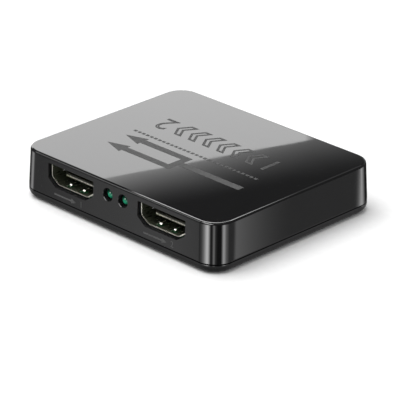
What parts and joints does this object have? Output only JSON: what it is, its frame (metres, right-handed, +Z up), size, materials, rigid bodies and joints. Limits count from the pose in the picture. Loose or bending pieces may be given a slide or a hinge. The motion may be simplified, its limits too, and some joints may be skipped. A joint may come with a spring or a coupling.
{
  "type": "hdmi splitter",
  "caption": "Low glossy black box that repeats a video signal: output sockets and green lamps on one long face, input socket, power socket and red lamp on the opposite face.",
  "frame": {"origin": "middle of the base, on the surface that the box stands on", "axes": "+Z up, +X along the width, outputs face -Y, input and power face +Y"},
  "size_m": [0.0666, 0.0556, 0.0127],
  "materials": {
    "black_gloss": "polished moulded ABS",
    "nickel_shell": "nickel-plated sheet",
    "socket_plastic": "glass-filled moulding",
    "gold_contact": "gold flash",
    "green_lens": "tinted epoxy",
    "red_lens": "tinted epoxy",
    "tinned_lead": "tin-plated",
    "board": "solder mask on glass epoxy",
    "chip_epoxy": "moulded epoxy",
    "ceramic": "fired ceramic",
    "ferrite": "sintered ferrite",
    "can_aluminium": "drawn can",
    "screw_steel": "zinc-plated"
  },
  "bodies": {
    "root": {"bottom_cover": "black_gloss", "main_board": "board", "output_1_shell": "nickel_shell", "output_1_insulator": "socket_plastic", "output_1_contacts": "gold_contact", "output_2_shell": "nickel_shell", "output_2_insulator": "socket_plastic", "output_2_contacts": "gold_contact", "input_shell": "nickel_shell", "input_insulator": "socket_plastic", "input_contacts": "gold_contact", "power_shell": "nickel_shell", "power_insulator": "socket_plastic", "power_contacts": "gold_contact", "output_1_led": "green_lens", "output_2_led": "green_lens", "power_led": "red_lens", "output_led_leads": "tinned_lead", "power_led_leads": "tinned_lead", "splitter_chip": "chip_epoxy", "splitter_chip_leads": "tinned_lead", "memory_chip": "chip_epoxy", "memory_chip_leads": "tinned_lead", "regulator": "chip_epoxy", "regulator_leads": "tinned_lead", "crystal_base": "ceramic", "crystal_lid": "tinned_lead", "inductor": "ferrite", "inductor_terminals": "tinned_lead", "filter_capacitor": "can_aluminium", "filter_capacitor_base": "chip_epoxy", "ceramic_capacitors": "ceramic", "resistors": "chip_epoxy", "chip_end_caps": "tinned_lead", "surge_arrays": "chip_epoxy", "power_fuse": "ceramic", "top_cover": "black_gloss", "case_screws": "screw_steel"}
  },
  "joints": []
}
